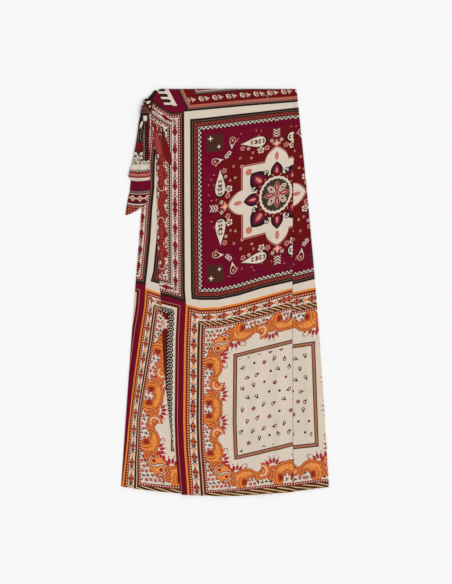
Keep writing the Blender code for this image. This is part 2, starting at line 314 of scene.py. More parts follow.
@node_group("curled leaf border", ("Along", "Inward"),
            ("Bodies", "Heads", "Hearts", "Petals", "Lines", "Light"))
def scroll(along, inward):
    """Border of curled leaves in one half side, as distances that are below 0 inside: bodies are
    ovals bitten round from outside, with drawn-out tails, and a bitten ring; heads are the rounds
    that curl in, with a lobed heart in each bend; petals fan out where two leaves meet; lines are a
    curl, a ring and rings of seeds."""
    near = abs(along - 77.5) - 44.5
    arch = far(along / 1.36, inward - 63.0) - 31.0
    lone = far((along - 101.0) / 1.12, inward - 66.0) - 28.0
    bends = 12.5 - far(abs(along - 43.5) - 43.5, inward - 57.0)
    tails = far((abs(along - 80.0) - 49.0) / 2.1, inward - 64.0) - 7.6
    ring = far(along - 58.0, inward - 81.0)
    hook = either(ring - 18.5, 11.0 - far(along - 71.0, inward - 93.0))
    cup = far(near / 1.5, inward - 80.0) - 9.0
    bodies = least(either(least(arch, lone), 60.0 - inward, bends), tails, hook, cup)
    heads = far(abs(along - 67.0) - 44.0, (inward - 62.0) / 1.12) - 14.5
    heart_x, heart_y = again(along, 88.0, 29.0), inward - 62.0
    hearts = far(heart_x, heart_y) + measure("COSINE", measure("ARCTAN2", heart_y, heart_x) * 3.0) * 1.2
    angle, reach = measure("ARCTAN2", near, inward - 80.0), far(near, inward - 80.0)
    spoke = again(angle, 0.42) * reach
    petals = either(oval(spoke, reach - 19.5, 3.5, 6.2), oval(spoke, reach - 28.4, 1.4, 1.5)) \
        * (abs(angle) < 1.25)
    seed_x, seed_y = abs(along - 49.5) - 49.5, inward - 82.0
    seeds = far(again(measure("ARCTAN2", seed_y, seed_x), 1.047) * 5.4, far(seed_x, seed_y) - 5.4) < 1.0
    tip = (abs(far(along - 98.0, inward - 100.0) - 4.2) < 0.9) * (along < 101.0)
    ring_line = (abs(ring - 5.5) < 0.7) * (hook < -1.0)
    return (bodies, heads, hearts, petals, either(seeds, tip, ring_line),
            (abs(ring - 11.0) < 1.1) * (hook < -1.5) * (along < 64.0) * (inward > 70.0))


@node_group("corner curl", ("Across", "Up"), ("Ragged", "Curl", "Eyes", "Outward"))
def corner_curl(x, y):
    """Corner of the curled leaves, for a middle 153 mm from both of the square's middle lines: a
    ragged oval across the diagonal, and in it two rings joined as an S; distances again."""
    outward = (abs(x) + abs(y) - 306.0) * 0.7071
    aside = (abs(x) - abs(y)) * 0.7071
    angle = measure("ARCTAN2", outward * 1.8, aside)
    ragged = far(aside / 1.8, outward) + measure("COSINE", angle * 19.0) * 1.4 - 19.5
    first, second = far(aside - 12.0, outward + 1.0), far(aside + 12.0, outward - 1.0)
    upper = either(abs(first - 11.0), least(-2.0 - outward, 14.0 - aside))
    lower = either(abs(second - 11.0), least(outward - 2.0, aside + 14.0))
    return ragged, least(upper, lower), least(first, second), outward


def leaf_coat(outline, line, body, light):
    """A leaf from the distance to its outline: a dark line, its edge, then its lighter middle."""
    lay(stripes(0.0 - outline, 20.0, (0, line), (1.0, body), (2.6, light)), outline < 0.0)


def curled_leaves(x, y, along, inward, show, apart, inks):
    """The whole border of curled leaves in its inks, where show is 1; dotted lines follow the
    outlines, that far apart."""
    line, body, light, curl_in, heart, fan, dots = inks
    hide = 60.0 - show * 120.0
    bodies, heads, hearts, petals, lines, cream_line = use(scroll, along, inward)
    ragged, curl, eyes, outward = use(corner_curl, x, y)
    lay(fan, petals, show)
    lay(fan, ragged < 5.5, abs(again(measure("ARCTAN2", y, x), 0.075)) < 0.022, outward < 0.0, show)
    leaf_coat(either(ragged, hide), line, body, light)
    lay("plum", curl < 2.8, eyes < 15.0, show)
    lay("cream", curl < 1.2, show)
    lay(heart, eyes < 4.0, show)
    leaves = least(bodies, heads)
    leaf_coat(either(leaves, hide), line, body, light)
    inside = least(leaves, ragged)
    row = abs(again(inside, apart)) + abs(again(along + inward, 3.2)) * 0.5
    lay(dots, row < 0.8, inside < -4.6, show)
    lay(curl_in, (16.0 - hearts) / 5.0, heads < -1.0, show)
    lay(heart, (12.0 - hearts) / 7.5, heads < -1.0, show)
    lay(line, abs(bodies + 4.6) < 0.8, heads > -3.0, show)
    lay(line, abs(hearts - 15.0) < 0.8, heads < -2.0, show)
    lay(line, lines, show)
    lay("cream", cream_line, show)


def scatter(x, y, size):
    """Cells of a staggered lattice, rows shifted by half: place in the cell, turned at random, and
    two random numbers for it."""
    row = measure("FLOOR", y / size)
    shifted = x + measure("FLOORED_MODULO", row, 2.0) * (size / 2)
    cell = new_node("CombineXYZ", X=measure("FLOOR", shifted / size), Y=row)
    noise = new_node("TexWhiteNoise", Vector=cell.outputs[0])
    noise.noise_dimensions = "2D"
    parts = new_node("SeparateColor", Color=noise.outputs["Color"])
    first, second, third = (Measure(socket) for socket in parts.outputs)
    across = again(shifted, size) + (first - 0.5) * (size * 0.36)
    up = again(y, size) + (second - 0.5) * (size * 0.36)
    angle = third * 6.283
    c, s = measure("COSINE", angle), measure("SINE", angle)
    return (measure("MULTIPLY_ADD", across, c, up * s),
            measure("MULTIPLY_ADD", up, c, across * s * -1.0), first, second)


def sprinkled(x, y, size, bloom, leaf, show):
    """Small flowers and crossed pairs of leaves, thickly scattered where show is 1."""
    place_x, place_y, first, _ = scatter(x, y, size)
    flowers = (first < 0.5) * show
    distance, reach = petalled(place_x, place_y)
    lay(bloom, distance < size * (0.30 + 0.16 * reach), flowers)
    lay("pink", abs(distance - size * 0.17) < size * 0.045, flowers)
    pair = either(oval(place_x - 0.16 * size, place_y, size * 0.38, size * 0.13),
                  oval(place_x, place_y - 0.12 * size, size * 0.12, size * 0.42),
                  oval(place_x + 0.2 * size, place_y + 0.22 * size, size * 0.16, size * 0.16))
    lay(leaf, pair, first > 0.5, show)


@node_group("cream scroll square", ("Across", "Up"), ("Color",))
def scroll_square(x, y):
    """The large cream square: dotted, flowered and striped frames, the curled leaf border, an inner
    frame and a field of small scattered drops."""
    _, along, inward = framed(x, y, LOWER_HALF)
    lay(stripes(inward, 60.0, (0, "orange"), (4.8, "brown"), (6.6, "brick"), (13.9, "brown"),
                (14.8, "cream"), (31.2, "brown"), (32.4, "cream"), (42.6, "brown"), (43.6, "brick"),
                (49.6, "cream")))
    dotted(along, inward, 10.8, 6.0, 1.5, "straw")
    garland(along, inward, 23.0, "brick", "orange", "black")
    top, bottom = y > abs(x), y < 0.0 - abs(x)
    slant = measure("FLOORED_MODULO", inward + 8.0 + x * (bottom * 0.2 - top * 0.5),
                    10.2 + top * 3.2 - bottom * 3.5)
    lay(stripes(slant, 13.4, (0, "brown"), (4.8, "straw"), (6.7, "rust"), (8.4, "brown"),
                (11.6, "straw")), inward > 32.4, inward < 42.6)
    dotted(along, inward, 46.6, 6.0, 1.4, "cream")
    sprinkled(x, y, 10.0, "rose", "olive", (inward > 50.5) * (inward < 78.0))
    curled_leaves(x, y, along, inward, inward > 49.6, 13.4,
                  ("rust", "tawny", "amber", "orange", "brick", "rose", "rust"))
    # inner frame and field
    lay(stripes(inward - 118.5, 14.0, (0, "olive"), (2.0, "clay"), (7.6, "olive"), (9.6, "cream")),
        inward > 118.5)
    rope = abs(again(along + inward * 0.9, 5.0))
    lay("olive", rope < 0.9, abs(inward - 123.3) < 2.8)
    lay("straw", rope > 1.9, abs(inward - 123.3) < 2.0)
    seed_x, seed_y, first, second = scatter(x, y, 25.0)
    field = inward > 133.0
    drop = leaf_drop(seed_x, seed_y, 13.0, 4.4, 4.0)
    kind = (first > 0.42) * field
    lay("brown", drop > 0.0, kind)
    lay("plum", drop > 0.0, kind, second > 0.55)
    lay("cream", drop > 0.74, kind)
    round_one = far(seed_x, seed_y)
    lay("brown", round_one < 3.0, first < 0.42, field)
    flowers = (first < 0.42) * (second > 0.5) * field          # the rest are drawn out of reach
    floret(seed_x + (1.0 - flowers) * 90.0, seed_y, 5.2, "plum", "rosy")
    lay("crimson", round_one < 1.2, field)


@node_group("burgundy medallion square", ("Across", "Up"), ("Color",))
def medallion_square(x, y):
    """The burgundy square: dark frames, drops and small flowers round a cream eight-pointed
    medallion whose outline is a square with a pointed lobe on each side."""
    across, along, inward = framed(x, y, MEDALLION_HALF)
    lay(stripes(inward, 30.0, (0, "black"), (5.2, "grey"), (6.2, "black"), (9.6, "clay"),
                (10.4, "brick"), (17.6, "black"), (19.4, "cream"), (20.2, "black"),
                (27.0, "burgundy")))
    slot = abs(inward - 14.0 + measure("SINE", along * 0.21) * 0.8)
    swell = abs(measure("SINE", along * 0.365))
    lay("black", abs(slot - swell * 3.0) < 0.8)
    lay("rosy", slot + abs(again(along, 8.6)) * 0.5 < 1.0)
    wave = inward - 23.6 - measure("SINE", along * 0.62) * 2.2
    lay("cream", abs(wave) < 1.3)
    # field: wine shadow round the motifs
    shadow = far(x, y) - 50.0 - cloud(x, y, 0.035) * 200.0
    lay("wine", shadow < 0.0, inward > 40.0)
    # corner patch with two stars
    lay("brown", abs(across - 150.0) < 18.5 + measure("SINE", along * 0.9) * 1.2,
        along > 129.0 + measure("SINE", across * 0.9) * 1.2, along < 168.0)
    for middle, radius in ((159.0, 7.0), (139.0, 5.4)):
        star_x, star_y = across - middle, along - middle
        star = least(abs(star_x), abs(star_y)) * 2.6 + far(star_x, star_y)
        lay("cream", star < radius)
    # large drops with a spray inside, and the small open loops
    across_drop = across - 136.0
    lay("black", leaf_drop(57.0 - along, across_drop, 69.0, 14.4) > 0.0)
    drop = leaf_drop(57.5 - along, across_drop, 62.0, 12.0)
    lay("cream", drop > 0.0)
    spray, inside = again(along, 9.5, 2.0), drop > 0.34
    lay("grey", abs(abs(across_drop) - abs(spray) * 0.9) < 0.5, inside)
    lay("wine", far(spray, abs(across_drop) - 3.4) < 2.3, inside)
    lay("olive", far(again(along, 19.0), across_drop) < 2.6, inside)
    for centre_x, centre_y, tilt in ((142.0, 108.0, -16.0), (108.0, 146.0, 98.0)):
        loop_x, loop_y = turned(across - centre_x, along - centre_y, tilt)
        above(leaf_drop(loop_x, loop_y, 29.0, 7.6, 4.0),
              (0.0, "cream"), (0.30, "wine"), (0.86, "pink"))
    # small flowers
    for place_x, place_y, radius, petals in (
            (120.0, 114.0, 5.6, "cream"), (126.0, 82.0, 6.2, "pink"), (115.0, 38.0, 8.6, "cream"),
            (118.0, 23.0, 6.6, "pink"), (146.0, 97.0, 3.2, "pink"), (123.0, 68.0, 4.0, "cream"),
            (112.0, 57.0, 3.4, "pink"), (133.0, 11.5, 4.6, "cream"), (100.0, 61.0, 3.0, "straw"),
            (104.0, 88.0, 3.4, "pink"), (97.0, 128.0, 3.0, "cream")):
        floret(across - place_x, along - place_y, radius, petals, "wine")
    star = least(abs(across - 125.0), along) * 1.5 + far(across - 125.0, along)
    within(star, (11.5, "pink"), (5.0, "straw"))
    chevron = abs(again(across - along * 0.8, 6.6))
    lay("cream", chevron < 1.5, abs(across - 151.0) < 10.0, along < 8.0)
    tick_x, tick_y, first, _ = scatter(x, y, 12.0)
    ticks = oval(tick_x, tick_y, 3.0, 1.2) * (abs(across - 156.0) < 14.0) * (abs(along - 66.5) < 57.5)
    lay("crimson", ticks)
    lay("rosy", ticks, first > 0.72)
    # medallion
    bulge = measure("SQRT", either(1.0 - measure("POWER", along / 27.5, 1.15), 0.0))
    edge = across - 81.0 - 34.0 * bulge
    lay("pink", far(across - 84.0, along - 84.0) < 4.0)
    within(edge, (4.6, "pink"), (3.2, "wine"), (1.4, "pink"), (0.5, "cream"))
    leaf = least(far((across - 94.0) / 2.0, along), far(across - 68.0, along - 67.0) / 1.5)
    lay("rosy", leaf < 4.8)
    lay("pink", abs(again(across - along, 2.6)) < 0.5, leaf < 3.6)
    diagonal, aside = (across + along) * 0.7071, (across - along) * 0.7071
    straight = almond(across - 57.0, along, 23.5, 15.0)
    slanting = almond(diagonal - 60.0, aside, 28.0, 23.0)
    angle = measure("ARCTAN2", along, across) * 57.2958
    distance = far((x + 3.0) / 0.9, y)
    swirl = far(distance - 62.0, (angle - 24.0) * 1.08)
    lay("black", either(straight > 0.0, slanting > 0.0, swirl < 6.6))
    lay("cream", abs(swirl - 3.4) < 1.3, distance > 60.0)
    above(either(straight, slanting), (0.36, "plum"), (0.66, "rose"), (0.84, "pink"))
    lay("wine", distance < 53.0)
    lay("pink", far(distance - 49.0, again(angle, 22.5) * 0.85) < 1.7)
    within(distance + measure("COSINE", angle * 0.42), (44.0, "cream"), (38.0, "olive"))
    within(far((diagonal - 19.0) / 1.6, aside),
           (6.8, "cream"), (5.4, "brick"), (4.2, "cream"), (2.4, "wine"))
    above(almond(across - 17.0, along, 15.0, 6.6), (0.0, "pink"), (0.22, "wine"), (0.66, "pink"))
    floret(x, y, 6.4, "pink", "wine", 8)


@node_group("brick leaf square", ("Across", "Up"), ("Color",))
def brick_square(x, y):
    """The upper square beside it: dark, dotted and flowered frames round brick-red curled leaves."""
    _, along, inward = framed(x, y, BRICK_HALF)
    inward = inward + (y > abs(x)) * 3.4
    lay(stripes(inward, 60.0, (0, "black"), (6.0, "grey"), (7.2, "brown"), (8.6, "crimson"),
                (15.6, "cream"), (29.8, "black"), (31.8, "cream"), (33.4, "black"),
                (35.6, "crimson"), (41.0, "cream")))
    dotted(along, inward, 12.0, 6.0, 1.5, "cream")
    garland(along * 0.85, inward * 1.25, 28.3, "crimson", "crimson", "wine")
    dotted(along, inward, 38.4, 6.0, 1.3, "cream")
    sprinkled(x, y, 10.0, "crimson", "black", (inward > 41.5) * (inward < 62.0))
    wave = measure("COSINE", along * 0.135) * 5.0
    band = (inward > 46.0 + wave) * (inward < 60.0 + wave) * (along < 128.0)
    lay("wine", band)
    lay("clay", band, far(again(x, 4.6), again(y, 4.6)) < 1.2)
    curled_leaves(x * 1.10, y * 1.10, abs(again(along * 1.5, 284.0, 142.0)), inward * 1.5 - 3.0,
                  (inward > 46.5) * (along < 165.0), 5.4,
                  ("wine", "clay", "brick", "brick", "wine", "crimson", "rosy"))
    # the long leaves side by side at the upper corners, one brick and one dark; the dark one is partly
    # print and partly painted shade, standing in for the shade of the deep pull fold from the knot
    for middle, up, length, half_width, edge, fill, vein in (
            (155.0, 146.0, 78.0, 9.0, "crimson", "brick", "rosy"),
            (175.0, 142.0, 92.0, 9.0, "brown", "wine", "crimson")):
        leaf_x, leaf_y = turned(abs(x) - middle, y - up, -74.0)
        leaf = leaf_drop(leaf_x, leaf_y, length, half_width, -3.0)
        above(leaf, (0.0, edge), (0.18, fill))
        lay(vein, abs(again(leaf_y, 3.4)) < 0.5, leaf > 0.3)


@node_group("burgundy chain square", ("Across", "Up"), ("Color",))
def chain_square(x, y):
    """The lower square beside it: plain burgundy frames, a scalloped black chain, wine middle."""
    across, along, inward = framed(x, y, LOWER_HALF)
    lay(stripes(inward, 60.0, (0, "wine"), (1.8, "burgundy"), (13.2, "pink"), (14.2, "wine"),
                (20.8, "cream"), (41.6, "black"), (42.8, "wine")))
    scallop = far(again(along, 12.5), inward - 33.0)
    lay("black", either(scallop < 7.2, inward > 34.0), abs(inward - 33.5) < 8.6)
    lay("cream", abs(scallop - 3.6) < 0.6, inward < 36.0)
    weft = again(along + inward * 1.3, 8.35)
    lay("cream", abs(weft) < 0.8, abs(inward - 38.4) < 2.4)
    floret(across - 187.0, along - 176.0, 17.0, "pink", "pink", 9)
    floret(across - 187.0, along - 176.0, 14.0, "cream", "pink", 9)


@node_group("waist rows", ("Across", "Up"), ("Color",))
def waist_rows(u, up):
    """The row at the waist, from its lower line up: chain lines, then a wine band of rosettes and
    fan leaves; left of the column line a burgundy block with a cream parallelogram of bars."""
    nested = least(up, u)
    lay(stripes(nested, 60.0, (0, "black"), (4.6, "grey"), (6.2, "black"), (7.4, "clay"),
                (14.4, "brown"), (15.4, "wine"), (38.0, "black"), (40.0, "grey"), (45.0, "cream"),
                (46.5, "brick")))
    link, aside = again(u + up, 5.4), nested - 10.8
    crossed = abs(abs(link) - abs(aside))
    lay("pink", crossed < 0.9, abs(aside) < 3.0)
    lay("brown", far(link, aside) < 1.3)
    middle, inside_band = up - 27.0, nested > 15.4
    rosette = far(again(u, 34.3, 4.0), middle)
    lay("cream", rosette < 5.9, inside_band)
    lay("wine", rosette < 4.5, again(u, 34.3, 4.0) > -1.6, inside_band)
    lay("pink", far(again(u, 34.3, 2.4), middle) < 2.0)
    fan = again(u, 34.3, 22.3)
    for width, name in ((5.6, "cream"), (3.6, "clay"), (1.4, "cream")):
        lay(name, abs(middle) < width * (0.5 - fan * 0.085), abs(fan) < 6.2, inside_band)
    # block left of the column line, drawn where the pull of the knot has brought it
    level = either(395.2 + up * 1.404 - u * 0.842, 434.8 + up * 0.954 + u * 0.095)
    slanted = u + 119.1 - level * 0.48 + (level - 466.0) * 0.53
    left = u < 0.0
    patch = left * (abs(slanted + 138.2) < 14.4) * (level > 448.0)
    bar = abs(again(level, 13.4, 2.7))
    lay("burgundy", left)
    lay("black", left, up < 1.0)
    lay("cream", patch)
    lay("black", patch, far(either(slanted + 137.0, 0.0), bar) < 4.0)
    lay("brown", patch, bar < 1.2, slanted < -140.0)


def in_millimetres(place):
    """The two numbers of a place on the print, in millimetres."""
    parts = new_node("SeparateXYZ", Vector=place)
    return Measure(parts.outputs[0]) * 1000.0, Measure(parts.outputs[1]) * 1000.0


@node_group("patchwork print", ("Place",), ("Color",))
def patchwork(place):
    """The whole print: two columns of squares that repeat across, a lower and an upper row, and the
    row at the waist, each square on its own middle."""
    u, v = in_millimetres(place)
    u = again(u, 4 * LOWER_HALF, 2 * LOWER_HALF)
    x, y, left = u - MEDALLION_X, v - WAIST_LINE / 2, u < 0.0
    lay(use(medallion_square, x, y))
    lay("cream", either(abs(x) > MEDALLION_HALF, abs(y) > MEDALLION_HALF))
    lay(use(scroll_square, u - LOWER_HALF, v + LOWER_HALF), v < 0.0)
    lay(use(brick_square, u + BRICK_HALF, v - (LEFT_LINE + BRICK_HALF)), left)
    lay("cream", u < -2.0 * BRICK_HALF)
    lay(use(chain_square, u + LOWER_HALF, v - (LEFT_LINE - LOWER_HALF)), left, v < LEFT_LINE)
    lay(use(waist_rows, u, v - WAIST_LINE), v > WAIST_LINE)


@node_group("tie print", ("Place",), ("Color",))
def tie_print(place):
    """The print where the ties and the knot were cut: bands one below the other, sagging a little
    towards their middles, from the knot's dark folds down to the slanted point."""
    u, v = in_millimetres(place)
    s = (u + 206.0) / 25.0
    below = 483.0 - v + s * s * 3.0
    lay(stripes(below, 300.0, (0, "black"), (34.0, "brown"), (54.0, "black"), (146.0, "cream"),
                (188.0, "black"), (194.5, "brick"), (208.0, "cream"), (215.0, "burgundy"),
                (238.0, "black"), (240.0, "grey"), (243.0, "brown"), (245.0, "cream"),
                (247.0, "wine"), (268.0, "black"), (270.0, "cream"), (273.0, "grey"),
                (276.0, "brick")))
    # knot: small flowers, dots and light patches of the folded print
    speck_x, speck_y, first, second = scatter(u, v, 6.4)
    speck, upper = far(speck_x, speck_y), (v > 430.0) * (v < 459.0)
    lay("wine", speck < 2.6, first < 0.72, upper)
    lay("cream", speck < 2.0, first > 0.72, upper)
    lay("grey", speck < 1.9, first < 0.34, upper)
    lay("black", speck < 1.0, second > 0.4, upper)
    patches = either(oval(u + 184.5, v - 455.0, 4.2, 3.0),
                     (abs(u + 191.5) < 4.4) * (abs(v - 417.6) < 6.0),
                     oval(u + 201.0 - (v - 402.0) * 0.3, v - 403.0, 3.0, 8.5))
    lay("cream", patches)
    # upper end: a black oval lined in grey, a wine leaf, curls on cream, and dark stripes beside them
    seed = far((u + 204.5) / 8.2, (v - 376.0) / 17.5)
    within(seed, (1.12, "grey"), (0.98, "black"))
    lay("grey", seed < 0.7, abs(again(u, 5.0)) < 0.7)
    leaf = leaf_drop(v - 344.0, u + 204.0, 34.0, 13.5, 6.0)
    leaf_coat(leaf * -9.0, "black", "wine", "wine")
    lay("clay", speck < 0.8, leaf > 0.3)
    ring_x, ring_y, first, _ = scatter(u, v, 9.5)
    ring, on_cream = far(ring_x, ring_y), (abs(v - 319.0) < 12.0) * (leaf < 0.0)
    lay("black", abs(ring - 2.8) < 0.9, on_cream)
    lay("grey", ring < 1.6, on_cream, first > 0.5)
    beside = (u > (v - 395.0) * 0.05 - 194.0) * (below < 168.0) * (below > 74.0)
    lay("black", beside)
    lay("wine", beside, abs(u + 189.5) < 0.9)
    lay("wine", beside, u > -184.6)
    lay("silver", beside, far(again(v, 5.4), u + 194.0) < 1.3)
    wave = below - 191.2 - measure("SINE", u * 0.8) * 1.8
    lay("cream", abs(wave) < 1.0)
    link = far(again(u, 6.6), below - 201.5)
    lay("pink", link < 3.0, link > 1.6)
    # lower end: rosettes on the wine band, then dots
    floret(again(u, 17.5, 3.0), below - 257.5, 6.6, "cream", "brick", 4)
    lay("straw", far(again(u, 17.5, 11.7), below - 257.5) < 1.8)
    lay("straw", far(again(u, 6.0), again(below, 6.0)) < 0.9, below > 277.0)


@node_group("viscose weave", ("Place",), ("Height", "Unevenness"))
def weave(place):
    """Plain weave: threads over and under each other, as the product of two sines, with slubs,
    which are noise drawn out along the cloth; and a soft unevenness of the dye."""
    u, v = in_millimetres(place)
    threads = measure("SINE", u * THREADS) * measure("SINE", v * THREADS)
    return threads * 0.5 + cloud(u * 0.9, v * 0.06, 5.0), cloud(u, v, 0.014, 3.0)


def new_material(name):
    """A material whose node tree is the drawing from here on, and its shader."""
    material = bpy.data.materials.new(name)
    material.use_nodes = True
    Measure.drawing = material.node_tree
    return material, material.node_tree.nodes["Principled BSDF"]


def printed(name, print_group):
    """Viscose in the print: colour from the print, made a little uneven, soft sheen, fine weave."""
    material, shader = new_material(name)
    place = new_node("UVMap")
    place.uv_map = "print"
    height, uneven = use(weave, place.outputs[0])
    tone = new_node("HueSaturation", Color=use(print_group, place.outputs[0]),
                    Value=measure("MULTIPLY_ADD", uneven, 0.16, 0.92))
    bump = new_node("Bump", Strength=0.35, Distance=0.00012, Height=height)
    set_inputs(shader, Base_Color=tone.outputs["Color"], Normal=bump.outputs["Normal"],
               Roughness=measure("MULTIPLY_ADD", height, 0.10, 0.58), Specular_IOR_Level=0.05,
               Sheen_Weight=0.02)
    return material


# ------------------------------------------------------------------------------ back panel
# The back is cut in one with the narrow strip of the front right of the seam.  Light plain-weave
# viscose, printed; it lies on the surface, turns round the right side fold and ends in the seam.
WALL = 0.0006                 # the cloth with its soft surface
WAIST_Y, HEM_Y = 0.4884, -0.4884
LENGTH = WAIST_Y - HEM_Y
HEM_CENTRE_X, HEM_CURVE = -0.0050, 0.333
HEM_SHORT_BACK = 0.0050       # so much shorter is the back, whose hem stays hidden
WAIST_LEFT_X, HEM_LEFT_X, LEFT_BOW = -0.1800, -0.2496, 0.0040
WAIST_RIGHT_X, HEM_RIGHT_X, RIGHT_BOW = 0.1722, 0.2496, 0.0070
CORNER_X, CORNER_SLOPE = -0.1565, 1.25         # the waist's left corner, pulled down to the knot
SEAM_WAIST_X, SEAM_HEM_X, SEAM_DIP = 0.1668, 0.1640, -0.0035
BACK_SEAM_WAIST, BACK_SEAM_HEM = 0.0100, 0.0400        # in from the left outline
BACK_LEVEL, TURNED_LEVEL = 0.0004, 0.0018      # middle of the wall below and above a side fold
FOLD_RADIUS = (TURNED_LEVEL - BACK_LEVEL) / 2
FOLD_INSET = 0.0012           # of the fold's axis from the outline


def mix(a, b, t):
    """a at t = 0, b at t = 1, straight between."""
    return a + (b - a) * t


def smooth(t):
    """Soft step: 3t² - 2t³ of t held between 0 and 1."""
    t = np.clip(t, 0.0, 1.0)
    return t * t * (3.0 - 2.0 * t)


def waist_y(x):
    """Straight, and left of CORNER_X falling by CORNER_SLOPE towards the knot."""
    return WAIST_Y - CORNER_SLOPE * np.maximum(0.0, CORNER_X - x)


def hem_y(x):
    """A shallow parabola, lowest at HEM_CENTRE_X."""
    return HEM_Y + HEM_CURVE * (x - HEM_CENTRE_X) ** 2


def left_x(t):
    """Left outline: straight from waist to hem, bowed out by half a sine."""
    return mix(WAIST_LEFT_X, HEM_LEFT_X, t) - LEFT_BOW * np.sin(np.pi * t)


def right_x(t):
    """Right outline: straight from waist to hem, bowed out by half a sine."""
    return mix(WAIST_RIGHT_X, HEM_RIGHT_X, t) + RIGHT_BOW * np.sin(np.pi * t)


def seam_x(t):
    """Right seam of the front: straight, dipping left by half a sine."""
    return mix(SEAM_WAIST_X, SEAM_HEM_X, t) + SEAM_DIP * np.sin(np.pi * t)


def back_seam_x(t):
    """Seam of back and under front, on the underside."""
    return left_x(t) + mix(BACK_SEAM_WAIST, BACK_SEAM_HEM, t)


def skirt_y(x, t, shorter=0.0):
    """Straight down from the waist edge at t = 0 to the hem at t = 1."""
    return mix(waist_y(x), hem_y(x) + shorter, t)


def on_skirt(x, t, z, shorter=0.0):
    """Points at x, t of the way from the waist edge to the hem, at height z."""
    return np.stack([x, skirt_y(x, t, shorter), np.broadcast_to(z, x.shape)], axis=-1)


def between(left, right, count, inside=slice(None)):
    """From left to right in count even steps, for each row of the grid; inside picks some of them."""
    return mix(left, right, np.linspace(0.0, 1.0, count)[None, inside])


def soft_folds(rows, x, t):
    """Sum of raised cosines across lines that run down the skirt, each faded at its ends."""
    height = np.zeros_like(x)
    for x_top, x_hem, start, end, top, half_width in rows:
        across = np.minimum(np.abs(x - mix(x_top, x_hem, t)) / half_width, 1.0)
        along = smooth((t - start) / 0.25) * smooth((end - t) / 0.25)
        height += top * along * 0.5 * (1.0 + np.cos(np.pi * across))
    return height


def unevenness(x, y):
    """Lift of cloth laid by hand: 0.4 and the mean of five sines in as many directions."""
    waves = ((61, 23, 0.3), (-38, 87, 1.9), (112, 41, 4.1), (74, -126, 2.6), (23, 158, 5.2))
    mean = sum(np.sin(across * x + up * y + start) for across, up, start in waves) / len(waves)
    return LAID_UNEVEN * (mean + 0.4)


def table_at(rows, key, column):
    """Straight-line reading of a table whose first column is the key."""
    rows = np.array(sorted(rows))
    return np.interp(key, rows[:, 0], rows[:, column])


def add_piece(name, verts, face_sets, on_print=None):
    """Mesh object from whole arrays: face_sets are arrays with the vertex numbers of a face in each
    row, and on_print gives each vertex its place on the print, in metres."""
    mesh = bpy.data.meshes.new(name)
    corners = np.concatenate([faces.ravel() for faces in face_sets])
    sizes = np.concatenate([np.full(len(faces), faces.shape[1]) for faces in face_sets])
    mesh.vertices.add(len(verts))
    mesh.vertices.foreach_set("co", verts.astype(np.float32).ravel())
    mesh.loops.add(len(corners))
    mesh.loops.foreach_set("vertex_index", corners.astype(np.int32))
    mesh.polygons.add(len(sizes))
    mesh.polygons.foreach_set("loop_start", (np.cumsum(sizes) - sizes).astype(np.int32))
    mesh.update(calc_edges=True)
    if on_print is not None:
        layer = mesh.uv_layers.new(name="print")
        layer.data.foreach_set("uv", on_print[corners].astype(np.float32).ravel())
    mesh.shade_smooth()
    piece = bpy.data.objects.new(name, mesh)
    bpy.context.scene.collection.objects.link(piece)
    return piece


def unit(arrows):
    """Each arrow divided by its length."""
    return arrows / np.linalg.norm(arrows, axis=-1, keepdims=True)


def cloth(name, points, wall, on_print):
    """Closed shell: points is a grid down by across; half the wall is put on each side of it along
    its normal, which is the cross product of its two directions, and the rims are closed."""
    rows, columns = points.shape[:2]
    normal = unit(np.cross(np.gradient(points, axis=1), np.gradient(points, axis=0)))
    offset = normal * (np.broadcast_to(wall, points.shape[:2])[..., None] / 2)
    verts = np.concatenate([(points + offset).reshape(-1, 3), (points - offset).reshape(-1, 3)])
    front = np.arange(rows * columns).reshape(rows, columns)
    rear = front + rows * columns
    a, b, c, d = front[:-1, :-1], front[:-1, 1:], front[1:, 1:], front[1:, :-1]
    e, f, g, h = rear[:-1, :-1], rear[:-1, 1:], rear[1:, 1:], rear[1:, :-1]
    quads = [(a, b, c, d), (e, h, g, f),
             (b[0], a[0], e[0], f[0]), (d[-1], c[-1], g[-1], h[-1]),
             (c[:, -1], b[:, -1], f[:, -1], g[:, -1]), (a[:, 0], d[:, 0], h[:, 0], e[:, 0])]
    faces = np.concatenate([np.stack([side.ravel() for side in quad], axis=-1) for quad in quads])
    return add_piece(name, verts, [faces], np.tile(on_print.reshape(-1, 2), (2, 1)))


DOWN = 300                    # rows of the panels' grids
down = np.linspace(0.0, 1.0, DOWN)[:, None]
HEM, HEM_WALL = 0.0085, 0.0005          # the hem's depth and its extra thickness
LAID_UNEVEN, PUCKER = 0.0007, 0.00022   # heights of the unevenness and of a stitched row's gathers


def turned_in(from_edge, depth):
    """1 where the cloth is doubled by a turning, 0 past it, with a soft step of 2.5 mm."""
    return 1.0 - smooth((from_edge - depth) / 0.0025)


def puckers(place, from_edge):
    """Small gathers that a row of machine stitches draws up beside an edge."""
    drawn = np.sin(place * 540.0 + 1.6 * np.sin(place * 71.0)) + 0.6 * np.sin(place * 873.0 + 1.0)
    return PUCKER * drawn * np.exp(-((from_edge - 0.006) / 0.008) ** 2)


def on_cloth(points, down_share, across_share, lift):
    """Points of a grid at shares of its height and width, straight between the nearest ones, and
    lifted on to the face of the cloth."""
    down_share, across_share = np.broadcast_arrays(down_share, across_share)
    row, column = down_share * (points.shape[0] - 1.001), across_share * (points.shape[1] - 1.001)
    i, j = row.astype(int), column.astype(int)
    p, q = (row - i)[:, None], (column - j)[:, None]
    upper, lower = (mix(points[n, j], points[n, j + 1], q) for n in (i, i + 1))
    return mix(upper, lower, p) + np.array([0.0, 0.0, lift])


STITCH, STITCH_LENGTH, THREAD = 0.0030, 0.0024, 0.00017      # pitch, length, radius of the thread


